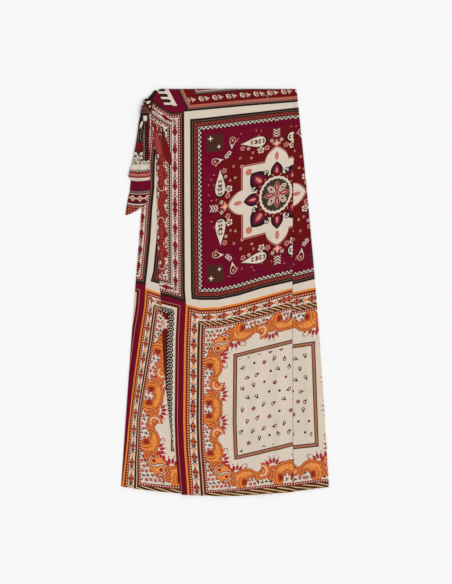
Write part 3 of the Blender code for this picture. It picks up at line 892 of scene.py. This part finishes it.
def between_rings(number):
    """Four-sided faces from each ring of numbered points to the next, all the way round: the last
    two directions of number are the rings and the points in a ring."""
    here, there = number[..., :-1, :], number[..., 1:, :]
    after_here, after_there = (np.roll(ring, -1, axis=-1) for ring in (here, there))
    return np.stack([part.ravel() for part in (here, after_here, after_there, there)], -1)


def sewn(name, lines, spun):
    """Machine stitches along lines of points: one every STITCH metres, four rings of six points
    about its own direction, thin and 0.15 mm lower at both ends where it enters the cloth."""
    middles, aheads = [], []
    for line in lines:
        reach = np.concatenate([[0.0], np.cumsum(np.linalg.norm(np.diff(line, axis=0), axis=1))])
        places = np.arange(STITCH / 2, reach[-1], STITCH)
        before, middle, after = (np.stack([np.interp(places + shift, reach, line[:, axis])
                                           for axis in range(3)], -1) for shift in (-0.001, 0.0, 0.001))
        middles.append(middle)
        aheads.append(after - before)
    middle, ahead = np.concatenate(middles), unit(np.concatenate(aheads))
    side = unit(np.cross([0.0, 0.0, 1.0], ahead))
    rise = np.cross(ahead, side)
    # of each ring: place along the stitch, share of the thread's radius, height
    rings = ((-0.5, 0.3, -0.00015), (-0.3, 1.0, 0.0), (0.3, 1.0, 0.0), (0.5, 0.3, -0.00015))
    place, size, drop = np.array(rings).T[:, None, :, None, None] * \
        np.array([STITCH_LENGTH, THREAD, 1.0])[:, None, None, None, None]
    angle = np.linspace(0.0, 2 * np.pi, 6, endpoint=False)[None, None, :, None]
    ahead, side, rise, middle = (part[:, None, None, :] for part in (ahead, side, rise, middle))
    verts = middle + ahead * place + side * size * np.cos(angle) + rise * (size * np.sin(angle) + drop)
    number = np.arange(verts.size // 3).reshape(-1, 4, 6)
    ends = np.concatenate([number[:, 0, ::-1], number[:, 3]])
    piece = add_piece(name, verts.reshape(-1, 3), [between_rings(number), ends])
    piece.data.materials.append(spun)
    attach(piece, "root")
    return piece


def spun_thread(name, colour):
    """Two-ply spun thread: slanting bands for the twist, and a soft uneven colour."""
    material, shader = new_material(name)
    place = new_node("TexCoord").outputs["Object"]
    twist = new_node("TexWave", Vector=place, Scale=900.0)
    twist.bands_direction = "DIAGONAL"
    ramp = new_node("ValToRGB", Fac=new_node("TexNoise", Vector=place, Scale=2200.0).outputs[0])
    for element, share in zip(ramp.color_ramp.elements, (0.72, 1.12)):
        element.color = tuple(channel * share for channel in ink(colour)[:3]) + (1.0,)
    bump = new_node("Bump", Strength=0.5, Distance=0.00005, Height=twist.outputs["Fac"])
    set_inputs(shader, Base_Color=ramp.outputs[0], Normal=bump.outputs[0], Roughness=0.62)
    return material


thread = spun_thread("sewing_thread", "brown")
STRIP_FOLDS = (
    # x_top, x_hem, start, end, height, half_width
    (0.180, 0.206, 0.40, 1.20, 0.0020, 0.016),
)
BACK_ACROSS, FOLD_ACROSS, STRIP_ACROSS = 60, 12, 26


def strip_level(x, t):
    """Middle of the strip: level at its seam and at the fold, soft folds and unevenness between."""
    y, at_fold = skirt_y(x, t), smooth((right_x(t) - x) / 0.012)
    free = unevenness(x, y) + soft_folds(STRIP_FOLDS, x, t)
    return TURNED_LEVEL + (free * smooth((x - seam_x(t)) / 0.010) + puckers(x, y - hem_y(x))) * at_fold


def half_turn(share, x_side, direction):
    """Half circle round a side fold: angle goes from straight down to straight up with share."""
    angle = np.pi * (share - 0.5)
    x = x_side + direction * (FOLD_RADIUS * np.cos(angle) - FOLD_INSET)
    return x, BACK_LEVEL + FOLD_RADIUS * (1.0 + np.sin(angle))


STRIP_LINE = (
    # y, x of the line between the two columns of squares, if the strip's print went on to it
    (-0.500, -0.1300), (-0.467, -0.1312), (-0.368, -0.1403), (-0.126, -0.1491), (0.102, -0.1458),
    (0.342, -0.1436), (0.500, -0.1480),
)
PRINT_ROWS = (0.450, 0.433, 0.225, 0.017, 0.000, -0.120, -0.364, -0.442)   # heights on the print
STRIP_ROWS = (
    # x, then y of each print row there
    (0.163, 0.4567, 0.4433, 0.2352, 0.0187, -0.0002, -0.1260, -0.3749, -0.4656),
    (0.223, 0.4632, 0.4500, 0.2496, 0.0341, 0.0137, -0.1171, -0.3684, -0.4570),
)


def print_place(x, y, column_line, rows):
    """Place on the flat print: across, from the column line at that y; up, by reading each print
    row's y at that x and going straight between the two rows that y lies between."""
    across = x - table_at(column_line, y, 1)
    heights = np.stack([table_at(rows, x, 1 + number) for number in range(len(PRINT_ROWS))])
    up = PRINT_ROWS[0] + (y - heights[0])
    for number in range(len(PRINT_ROWS) - 1):
        above, below = heights[number], heights[number + 1]
        share = (above - y) / (above - below)
        last = number == len(PRINT_ROWS) - 2
        inside = (share >= 0) & ((share <= 1) | last)
        up = np.where(inside, mix(PRINT_ROWS[number], PRINT_ROWS[number + 1], share), up)
    return np.stack([across, up], -1)


turn = between(0.0, 1.0, FOLD_ACROSS + 2, slice(1, -1))
inner = right_x(down) - FOLD_INSET
x_below = between(back_seam_x(down) + 0.0003, inner, BACK_ACROSS)
x_turn, z_turn = half_turn(turn, right_x(down), 1)
x_strip = between(inner, seam_x(down) + 0.0002, STRIP_ACROSS)
back_points = np.concatenate([
    on_skirt(x_below, down, BACK_LEVEL, HEM_SHORT_BACK),
    on_skirt(x_turn, down, z_turn, HEM_SHORT_BACK * (1.0 - smooth(turn))),
    on_skirt(x_strip, down, strip_level(x_strip, down))], axis=1)
unfolded_x = np.concatenate([2 * inner - x_below, back_points[:, BACK_ACROSS:, 0]], axis=1)
from_hem = (1.0 - down) * LENGTH
front_columns = np.arange(back_points.shape[1]) >= BACK_ACROSS + FOLD_ACROSS
back = cloth("back_cloth", back_points, WALL + HEM_WALL * front_columns * turned_in(from_hem, HEM),
             print_place(unfolded_x, back_points[..., 1], STRIP_LINE, STRIP_ROWS))
back.data.materials.append(printed("back_print", patchwork))
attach(back, "root")
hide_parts("back_panel")
ON_HEM = (WALL + HEM_WALL) / 2 + THREAD * 0.6          # stitch's middle above the middle of a hem
ON_EDGE = ON_HEM - HEM_WALL / 2                        # and of the waist edge
HEM_ROW, WAIST_ROW = 1.0 - 0.0078 / LENGTH, 0.0050 / LENGTH      # their places down the skirt
seam_to_fold = np.linspace(0.995, (BACK_ACROSS + FOLD_ACROSS + 1) / (back_points.shape[1] - 1), 120)
back_stitches = sewn("back_stitches", [
    on_cloth(back_points, HEM_ROW, seam_to_fold, ON_HEM),
    on_cloth(back_points, WAIST_ROW, seam_to_fold, ON_EDGE)], thread)


# ------------------------------------------------------------------------------ under front
# The left front, which the wrap hides for the most part.  Same cloth; sewn to the back on the
# underside, turned round the left side fold, its free edge hidden below the over front.
FREE_EDGE = (
    # down, x
    (0.0000, -0.1738), (0.0400, -0.1768), (0.0740, -0.1738), (0.1220, -0.1722), (0.1400, -0.1660),
    (0.2650, -0.1636), (0.3600, -0.1624), (0.4470, -0.1590), (0.4870, -0.1555), (0.5420, -0.1514),
    (0.6250, -0.1495), (0.6600, -0.1474), (0.7220, -0.1416), (0.7970, -0.1337), (0.8400, -0.1291),
    (0.8620, -0.1236), (0.8930, -0.1170), (0.9300, -0.1134), (0.9680, -0.1052),
)
HIDDEN_EDGE_WAIST_X, HIDDEN_EDGE_HEM_X = 0.0900, 0.1150
HEM_SHORT_UNDER = 0.0028
UNDER_FLAT_MARGIN = 0.0030    # out from the over front's edge, where the folds have died out
UNDER_FOLDS = (
    # x_top, x_hem, start, end, height, half_width
    (-0.200, -0.222, 0.34, 1.15, 0.0018, 0.012),
    (-0.170, -0.166, 0.52, 1.15, 0.0026, 0.018),
)
RETURN_ACROSS, SHOWN_ACROSS, HIDDEN_ACROSS = 12, 40, 30


def free_edge_x(t):
    """Free edge of the over front, from its table."""
    return table_at(FREE_EDGE, t * LENGTH, 1)


def hidden_edge_x(t):
    """Free edge of the under front, straight below the over front."""
    return mix(HIDDEN_EDGE_WAIST_X, HIDDEN_EDGE_HEM_X, t)


def under_level(x, t):
    """Middle of the under front: soft folds where it shows, flat below the over front."""
    shown = smooth((free_edge_x(t) - UNDER_FLAT_MARGIN - x) / 0.012)
    y = skirt_y(x, t)
    free = unevenness(x, y) * smooth((x - left_x(t)) / 0.012) + soft_folds(UNDER_FOLDS, x, t)
    return TURNED_LEVEL + shown * (free + puckers(x, y - hem_y(x)))


inner = left_x(down) + FOLD_INSET
x_return = between(back_seam_x(down), inner, RETURN_ACROSS)
x_turn, z_turn = half_turn(turn, left_x(down), -1)
flat_edge = free_edge_x(down) - UNDER_FLAT_MARGIN
x_upper = np.concatenate([
    between(inner, flat_edge, SHOWN_ACROSS),
    between(flat_edge, hidden_edge_x(down), HIDDEN_ACROSS + 1, slice(1, None))], axis=1)
under_points = np.concatenate([
    on_skirt(x_return, down, BACK_LEVEL, HEM_SHORT_BACK),
    on_skirt(x_turn, down, z_turn, mix(HEM_SHORT_BACK, HEM_SHORT_UNDER, smooth(turn))),
    on_skirt(x_upper, down, under_level(x_upper, down), HEM_SHORT_UNDER)], axis=1)
UNDER_LINE = (
    # y, x of the line between the two columns of squares
    (-0.500, -0.2500), (-0.467, -0.2479), (-0.383, -0.2376), (-0.306, -0.2304), (-0.210, -0.2194),
    (-0.133, -0.2088), (-0.095, -0.2035), (-0.056, -0.1970), (-0.028, -0.1930), (0.023, -0.1900),
    (0.057, -0.1860), (0.092, -0.1826), (0.126, -0.1790), (0.160, -0.1769), (0.195, -0.1749),
    (0.229, -0.1716), (0.252, -0.1694), (0.312, -0.1682), (0.345, -0.1655), (0.380, -0.1625),
    (0.438, -0.1610),
)
UNDER_ROWS = (
    # x, then y of each print row there
    (-0.228, 0.4524, 0.4354, 0.2316, 0.0348, 0.0192, -0.1044, -0.3756, -0.4615),
    (-0.190, 0.4428, 0.4258, 0.2220, 0.0300, 0.0101, -0.1140, -0.3780, -0.4662),
    (-0.156, 0.4356, 0.4186, 0.2148, 0.0204, -0.0019, -0.1236, -0.3790, -0.4699),
    (-0.113, 0.4284, 0.4114, 0.2052, 0.0084, -0.0144, -0.1332, -0.3804, -0.4738),
)
BORDERS, BEYOND = 0.0494, 1.05          # width of the printed borders, stretch of the print past them
BORDERS_LAID = (
    # y, width that those borders take up on the skirt, where the cloth is eased into the hip
    (-0.500, 0.0470), (-0.450, 0.0437), (-0.402, 0.0360), (-0.354, 0.0326), (-0.306, 0.0286),
    (-0.258, 0.0298), (-0.210, 0.0330), (-0.114, 0.0365), (-0.042, 0.0343), (0.020, 0.0350),
    (0.050, 0.0494), (0.500, 0.0494),
)
unfolded_x = np.concatenate([2 * inner - x_return, under_points[:, RETURN_ACROSS:, 0]], axis=1)
under_print = print_place(unfolded_x, under_points[..., 1], UNDER_LINE, UNDER_ROWS)
laid = table_at(BORDERS_LAID, under_points[..., 1], 1)
past = under_print[..., 0] - laid
under_print[..., 0] = np.where(past > 0, BORDERS + past / BEYOND,
                               np.where(past > -laid, (past / laid + 1) * BORDERS, past + laid))
front_columns = np.arange(under_points.shape[1]) >= RETURN_ACROSS + FOLD_ACROSS
under = cloth("under_front_cloth", under_points,
              WALL + HEM_WALL * front_columns * turned_in(from_hem, HEM), under_print)
under.data.materials.append(printed("under_front_print", patchwork))
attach(under, "root")
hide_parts("under_front_panel")
first_shown = RETURN_ACROSS + FOLD_ACROSS
shown_hem = np.linspace(first_shown + 1, first_shown + SHOWN_ACROSS, 120) / (under_points.shape[1] - 1)
under_stitches = sewn("under_front_stitches", [
    on_cloth(under_points, HEM_ROW, shown_hem, ON_HEM)], thread)


# ------------------------------------------------------------------------------- over front
# The right front, on top: one layer of the same cloth from the free opening edge at the left to
# the right seam.  Its upper left corner is pulled to the knot, which draws creases across it.
OVER_LEVEL = 0.0031           # middle of the wall over the under front
OVER_FOLDS = (
    # x_top, x_hem, start, end, height, half_width
    (-0.150, -0.128, -0.10, 0.62, 0.0026, 0.016),
    (-0.118, -0.098, 0.42, 1.15, 0.0030, 0.020),
    (-0.062, -0.050, -0.25, 0.55, 0.0014, 0.024),
    (-0.030, -0.006, 0.48, 1.20, 0.0026, 0.026),
    (0.030, 0.040, -0.10, 0.60, 0.0016, 0.028),
    (0.062, 0.080, 0.50, 1.20, 0.0026, 0.024),
    (0.112, 0.136, 0.22, 1.15, 0.0028, 0.020),
)
PULL_CREASES = (
    # x0, y0, x1, y1, height, half_width
    (-0.1660, 0.4390, -0.1290, 0.2900, 0.0052, 0.0080),
    (-0.1690, 0.4450, -0.1060, 0.3340, 0.0018, 0.0050),
    (-0.1680, 0.4500, -0.0780, 0.3740, 0.0015, 0.0056),
    (-0.1660, 0.4580, -0.0400, 0.4300, 0.0011, 0.0060),
    (-0.1700, 0.4200, -0.1530, 0.2500, 0.0014, 0.0040),
)
OVER_ACROSS, EDGE_TURN = 112, 0.0060            # columns of the grid, depth of the narrow turning


def creases(rows, x, y):
    """Sum of bell-shaped ridges along straight runs that widen away from where they start."""
    height = np.zeros_like(x)
    for x0, y0, x1, y1, top, half_width in rows:
        run = np.hypot(x1 - x0, y1 - y0)
        along = ((x - x0) * (x1 - x0) + (y - y0) * (y1 - y0)) / run ** 2
        across = ((x - x0) * (y1 - y0) - (y - y0) * (x1 - x0)) / run
        width = half_width * (0.5 + 0.5 * np.clip(along, 0.0, 1.0))
        ends = smooth(along / 0.2) * smooth((1.0 - along) / 0.5)
        height += top * np.exp(-(across / width) ** 2) * ends
    return height


def over_level(x, t):
    """Middle of the over front: settled on the under front at its free edge, a little above it
    further in, and sinking past the hidden edge; uneven, and puckered along its hem and free edge."""
    sunk = smooth((x - hidden_edge_x(t) - 0.014) / 0.030)
    from_free, y = x - free_edge_x(t), skirt_y(x, t)
    settled = OVER_LEVEL - 0.0004 * (1.0 - smooth(from_free / 0.018))
    free = unevenness(x, y) * smooth(from_free / 0.03) * smooth((seam_x(t) - x) / 0.012)
    return mix(settled, TURNED_LEVEL, sunk) + soft_folds(OVER_FOLDS, x, t) + free \
        + puckers(x, y - hem_y(x)) + puckers(y, from_free)


COLUMN_LINE = (
    # y, x of the line between the two columns of squares, on the over front
    (-0.500, -0.0900), (-0.484, -0.0900), (-0.450, -0.0922), (-0.378, -0.0979), (-0.306, -0.1003),
    (-0.162, -0.0986), (-0.114, -0.0979), (-0.025, -0.0936), (0.006, -0.0960), (0.222, -0.0974),
    (0.433, -0.0979), (0.442, -0.0931), (0.462, -0.1032), (0.488, -0.1152),
)
OVER_ROWS = (
    # x, then y of each print row there
    (-0.180, 0.4632, 0.4476, 0.2100, 0.0108, -0.0060, -0.1272, -0.3828, -0.4650),
    (-0.156, 0.4464, 0.4296, 0.2076, 0.0048, -0.0122, -0.1332, -0.3876, -0.4700),
    (-0.130, 0.4308, 0.4140, 0.2028, -0.0019, -0.0190, -0.1404, -0.3924, -0.4749),
    (-0.094, 0.4344, 0.4157, 0.1968, -0.0142, -0.0283, -0.1512, -0.4008, -0.4808),
    (-0.060, 0.4375, 0.4178, 0.1980, -0.0180, -0.0370, -0.1572, -0.4044, -0.4826),
    (-0.017, 0.4416, 0.4229, 0.2023, -0.0178, -0.0355, -0.1560, -0.4044, -0.4811),
    (0.031, 0.4459, 0.4284, 0.2141, -0.0079, -0.0254, -0.1469, -0.3991, -0.4773),
    (0.089, 0.4507, 0.4349, 0.2282, 0.0101, -0.0096, -0.1320, -0.3852, -0.4714),
    (0.161, 0.4565, 0.4430, 0.2460, 0.0264, 0.0108, -0.1140, -0.3677, -0.4656),
)
x_over = between(free_edge_x(down), seam_x(down) - 0.0002, OVER_ACROSS)
over_points = on_skirt(x_over, down, over_level(x_over, down))
over_points[..., 2] += creases(PULL_CREASES, over_points[..., 0], over_points[..., 1])
doubled = np.maximum(turned_in(from_hem, HEM), turned_in(x_over - free_edge_x(down), EDGE_TURN))
over = cloth("over_front_cloth", over_points, WALL + HEM_WALL * doubled,
             print_place(over_points[..., 0], over_points[..., 1], COLUMN_LINE, OVER_ROWS))
over.data.materials.append(printed("over_front_print", patchwork))
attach(over, "root")
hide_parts("over_front_panel")
edge_to_seam, waist_to_hem = np.linspace(0.004, 0.996, 500), np.linspace(0.002, 0.998, 900)
edge_row = EDGE_TURN * 0.8 / (seam_x(waist_to_hem) - free_edge_x(waist_to_hem))
over_stitches = sewn("over_front_stitches", [
    on_cloth(over_points, HEM_ROW, edge_to_seam, ON_HEM),
    on_cloth(over_points, WAIST_ROW, edge_to_seam, ON_EDGE),
    on_cloth(over_points, waist_to_hem, edge_row, ON_HEM)], thread)
# a short bar of grey-white thread and an upright one, a few stitches side by side, hold the
# waist corner just below its edge
BAR_CORNER, BAR_REACHES = np.array([0.1030, 0.4748]), ((-0.0122, -0.0034), (-0.0012, -0.0112))
STRANDS, STRAND_STEP = 6, 0.00042
bars = []
for reach in BAR_REACHES:
    along_bar = np.linspace(0.0, 1.0, 24)[:, None] * np.array(reach)
    square = np.array([-reach[1], reach[0]]) / np.hypot(*reach)
    for strand in range(STRANDS):
        at = BAR_CORNER + along_bar + square * (strand - STRANDS / 2) * STRAND_STEP
        t = (waist_y(at[:, 0]) - at[:, 1]) / LENGTH
        z = over_level(at[:, 0], t) + WALL / 2 + THREAD * 0.6
        bars.append(np.concatenate([at, z[:, None]], axis=1))
bar_tack = sewn("waist_bar_tack", bars, spun_thread("grey_thread", "silver"))


# ------------------------------------------------------------------------------------- ties
# Two ends of the waist tie, cut from the same print, hemmed narrow.  They hang from the knot
# with soft creases; the lower one is cut to a slanted point.
TIE_WALL, TIE_SLACK = 0.0007, 0.0003    # the wall, and the air below it
TIE_REST_MARGIN = 0.0062      # half the width of the soft step up to the skirt
SHORT_LIFT = 0.0020           # of the upper end, over the lower one
LONG_CREASE, SHORT_CREASE = 0.0004, 0.0012
LONG_END = (
    # y, left x, right x
    (0.4180, -0.2040, -0.1836), (0.3840, -0.2090, -0.1824), (0.3400, -0.2170, -0.1818),
    (0.3000, -0.2235, -0.1812), (0.2700, -0.2262, -0.1800), (0.2430, -0.2290, -0.1796),
    (0.2290, -0.2325, -0.1850), (0.2160, -0.2352, -0.1890), (0.2070, -0.2368, -0.2000),
    (0.1975, -0.2380, -0.2110), (0.1900, -0.2392, -0.2250), (0.1862, -0.2392, -0.2350),
)
SHORT_END = (
    # y, left x, right x
    (0.4180, -0.2048, -0.1812), (0.4090, -0.2070, -0.1806), (0.3840, -0.2098, -0.1810),
    (0.3600, -0.2134, -0.1822), (0.3360, -0.2178, -0.1832), (0.3120, -0.2222, -0.1832),
    (0.2950, -0.2280, -0.1828), (0.2790, -0.2322, -0.1820), (0.2715, -0.2272, -0.1822),
)


def tie_rest(x, y):
    """Height of what a tie lies on: the floor, then a soft step up to the skirt's left margin."""
    from_step = x - left_x((WAIST_Y - y) / LENGTH) + 2 * TIE_REST_MARGIN
    return smooth(from_step / TIE_REST_MARGIN) * (TURNED_LEVEL + 0.0008)


def tie_points(rows, lift, crease, across, along):
    """Grid between a table's two edges, with slanting creases."""
    s = np.linspace(0.0, 1.0, across)[None, :]
    t = np.linspace(0.0, 1.0, along)[:, None]
    y = mix(rows[0][0] + 0.004, rows[-1][0], t) + 0.0 * s
    x = mix(table_at(rows, y, 1), table_at(rows, y, 2), s)
    ripple = crease * (1.0 - np.cos(2 * np.pi * (1.5 * s + 0.8 * t))) / 2
    z = tie_rest(x, y) + TIE_WALL / 2 + lift + ripple
    return np.stack([x, y, z], -1)


long_points = tie_points(LONG_END, TIE_SLACK, LONG_CREASE, 24, 90)
short_points = tie_points(SHORT_END, TIE_SLACK + SHORT_LIFT, SHORT_CREASE, 24, 60)
long_end = cloth("long_tie_cloth", long_points, TIE_WALL, long_points[..., :2])
short_end = cloth("short_tie_cloth", short_points, TIE_WALL, short_points[..., :2])
for end, print_name, solid in ((long_end, "long_tie_print", "tie_end_long"),
                               (short_end, "short_tie_print", "tie_end_short")):
    end.data.materials.append(printed(print_name, tie_print))
    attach(end, "root")
    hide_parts(solid)
ON_TIE = TIE_WALL / 2 + THREAD * 0.6
tie_down = np.linspace(0.02, 0.975, 200)
long_stitches = sewn("long_tie_stitches", [
    on_cloth(long_points, tie_down * 0.72, 0.93, ON_TIE),
    on_cloth(long_points, tie_down, 0.06, ON_TIE)], thread)
short_stitches = sewn("short_tie_stitches", [
    on_cloth(short_points, tie_down, 0.95, ON_TIE),
    on_cloth(short_points, tie_down, 0.05, ON_TIE),
    on_cloth(short_points, 0.965, np.linspace(0.05, 0.95, 60), ON_TIE)], thread)


# ----------------------------------------------------------------------------- waist tie, knot
# The tie from behind comes round the waist as a narrow fold of cloth along the pulled-down
# corner, and the two ties are knotted once: a bundle running down, with one turn across it.
BAND_PATH = ((-0.1640, 0.4850, 0.0022), (-0.1706, 0.4767, 0.0027), (-0.1779, 0.4680, 0.0031),
             (-0.1846, 0.4605, 0.0040))
BUNDLE_PATH = ((-0.1815, 0.4640, 0.0050), (-0.1862, 0.4540, 0.0062), (-0.1905, 0.4400, 0.0066),
               (-0.1935, 0.4270, 0.0058), (-0.1930, 0.4155, 0.0042))
UPPER_WRAP_PATH = ((-0.1765, 0.4560, 0.0034), (-0.1790, 0.4560, 0.0078), (-0.1835, 0.4540, 0.0106),
                   (-0.1890, 0.4515, 0.0104), (-0.1940, 0.4480, 0.0070), (-0.1962, 0.4455, 0.0040))
WRAP_PATH = ((-0.1785, 0.4450, 0.0034), (-0.1800, 0.4442, 0.0072), (-0.1850, 0.4405, 0.0110),
             (-0.1915, 0.4365, 0.0114), (-0.1975, 0.4325, 0.0084), (-0.2000, 0.4305, 0.0042))


def wound(path, side, half_width, half_height, pleats, twist, around=40):
    """Closed roll of cloth: an ellipse carried along path (n by 3), its width along side and its
    height square to side and path; pleats lengthwise ridges, turning by twist, and rounded ends."""
    steps = np.linspace(0.0, 1.0, len(path))[:, None]
    forward = unit(np.gradient(path, axis=0))
    side = unit(np.array(side) - (forward @ np.array(side))[:, None] * forward)
    rise = np.cross(forward, side)
    angle = np.linspace(0.0, 2 * np.pi, around, endpoint=False)[None, :]
    end = np.sqrt(np.clip(1.0 - (np.abs(2 * steps - 1.0) / 1.001) ** 6, 0.0, 1.0))
    ridge = 1.0 - 0.17 * (0.5 + 0.5 * np.cos(pleats * angle + twist * steps)) \
        - 0.09 * (0.5 + 0.5 * np.cos((2 * pleats - 1) * angle - 1.7 * twist * steps + 1.0))
    wide = (half_width * end * ridge * np.cos(angle))[..., None]
    high = (half_height * end * ridge * np.sin(angle))[..., None]
    rings = path[:, None, :] + wide * side[:, None, :] + high * rise[:, None, :]
    number = np.arange(rings.shape[0] * around).reshape(-1, around)
    after = np.roll(number, -1, axis=1)
    start, stop = number.size, number.size + 1
    caps = np.concatenate([
        np.stack([np.full(around, start), after[0], number[0]], -1),
        np.stack([np.full(around, stop), number[-1], after[-1]], -1)])
    verts = np.concatenate([rings.reshape(-1, 3), path[:1], path[-1:]])
    return verts, between_rings(number), caps


def join_wound(name, rolls):
    """One object from several wound rolls; the print lies on them as seen from above."""
    starts = np.cumsum([0] + [len(verts) for verts, _, _ in rolls])
    verts = np.concatenate([verts for verts, _, _ in rolls])
    quads, caps = (np.concatenate([roll[kind] + start for roll, start in zip(rolls, starts)])
                   for kind in (1, 2))
    return add_piece(name, verts, [quads, caps], verts[:, :2])


def bow(points, count=40):
    """Smooth curve through a few points: a quadratic through each three, blended (Catmull-Rom)."""
    points = np.asarray(points, float)
    padded = np.concatenate([2 * points[:1] - points[1:2], points, 2 * points[-1:] - points[-2:-1]])
    place = np.linspace(0.0, len(points) - 1.0001, count)
    first = place.astype(int)
    t = (place - first)[:, None]
    p0, p1, p2, p3 = (padded[first + step] for step in range(4))
    return 0.5 * (2 * p1 + (p2 - p0) * t + (2 * p0 - 5 * p1 + 4 * p2 - p3) * t ** 2
                  + (3 * p1 - p0 - 3 * p2 + p3) * t ** 3)


band = join_wound("tie_band_cloth", [wound(bow(BAND_PATH), (0.75, -0.65, 0), 0.0048, 0.0021, 3, 3.0)])
knot = join_wound("knot_cloth", [
    wound(bow(BUNDLE_PATH), (1, 0.25, 0), 0.0112, 0.0052, 5, 4.0, 56),
    wound(bow(UPPER_WRAP_PATH), (0.35, 0.94, 0), 0.0062, 0.0024, 3, 2.6),
    wound(bow(WRAP_PATH), (0.35, 0.94, 0), 0.0078, 0.0024, 4, 2.0)])
for roll, print_name, solid in ((band, "band_print", "tie_band"), (knot, "knot_print", "tie_knot")):
    roll.data.materials.append(printed(print_name, tie_print))
    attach(roll, "root")
    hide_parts(solid)
